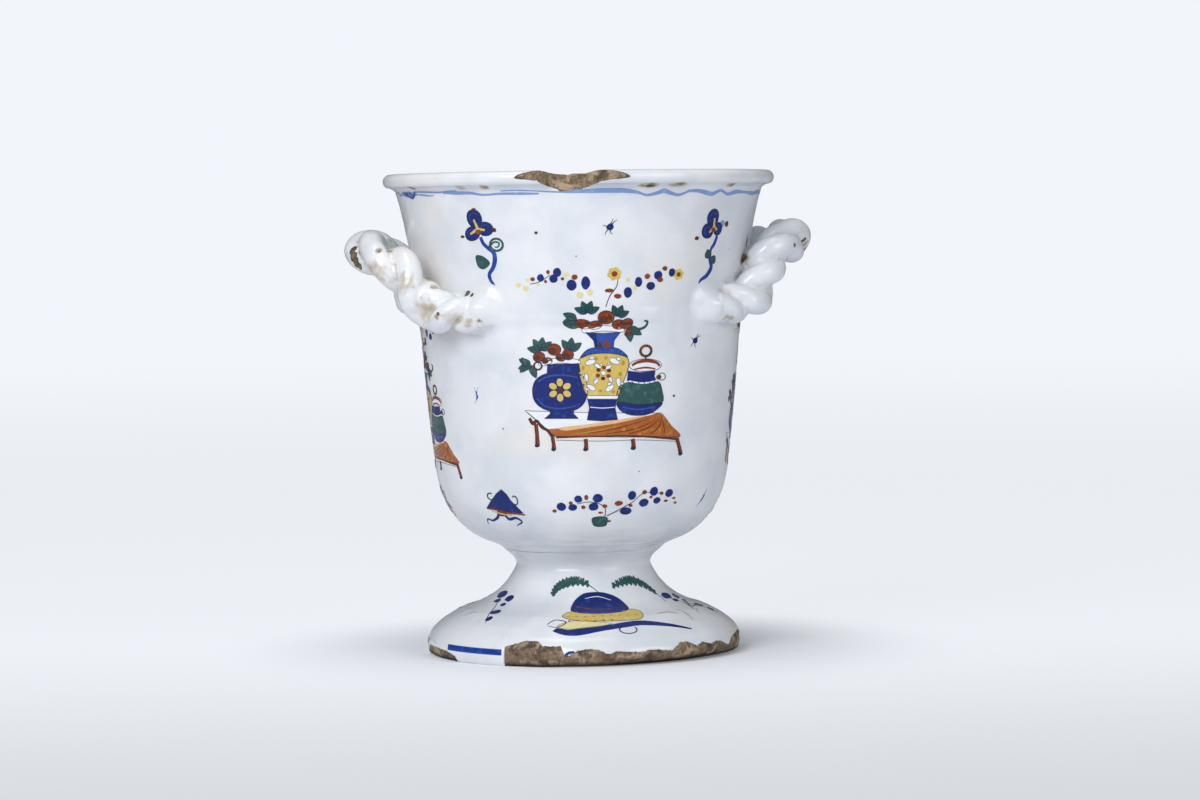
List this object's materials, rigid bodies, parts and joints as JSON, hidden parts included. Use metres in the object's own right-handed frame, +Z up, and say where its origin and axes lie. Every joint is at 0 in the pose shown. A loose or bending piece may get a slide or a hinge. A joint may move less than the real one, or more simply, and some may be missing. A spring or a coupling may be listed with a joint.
{
  "type": "footed urn with rope handles",
  "caption": "Footed bell-shaped urn in tin-glazed earthenware with an everted lip, a hollow spreading foot and twisted rope handles high on its sides.",
  "frame": {"origin": "middle of the foot's rim, on the surface that the urn stands on", "axes": "+Z up along the axis of the throwing, -Y out of the painted front, +X to the right-hand handle"},
  "size_m": [0.2396, 0.1995, 0.2449],
  "materials": {
    "bowl": "glossy white tin glaze over buff earthenware",
    "foot": "glossy white tin glaze over buff earthenware",
    "slip_joint": "glossy white tin glaze over buff earthenware",
    "right_handle_strand_a": "glossy white tin glaze over buff earthenware",
    "right_handle_strand_b": "glossy white tin glaze over buff earthenware",
    "left_handle_strand_a": "glossy white tin glaze over buff earthenware",
    "left_handle_strand_b": "glossy white tin glaze over buff earthenware",
    "right_front_pad": "glossy white tin glaze over buff earthenware",
    "right_rear_pad": "glossy white tin glaze over buff earthenware",
    "left_front_pad": "glossy white tin glaze over buff earthenware",
    "left_rear_pad": "glossy white tin glaze over buff earthenware"
  },
  "bodies": {
    "root": {"bowl": "bowl", "foot": "foot", "slip_joint": "slip_joint", "right_handle_strand_a": "right_handle_strand_a", "right_handle_strand_b": "right_handle_strand_b", "left_handle_strand_a": "left_handle_strand_a", "left_handle_strand_b": "left_handle_strand_b", "right_front_pad": "right_front_pad", "right_rear_pad": "right_rear_pad", "left_front_pad": "left_front_pad", "left_rear_pad": "left_rear_pad"}
  },
  "joints": []
}
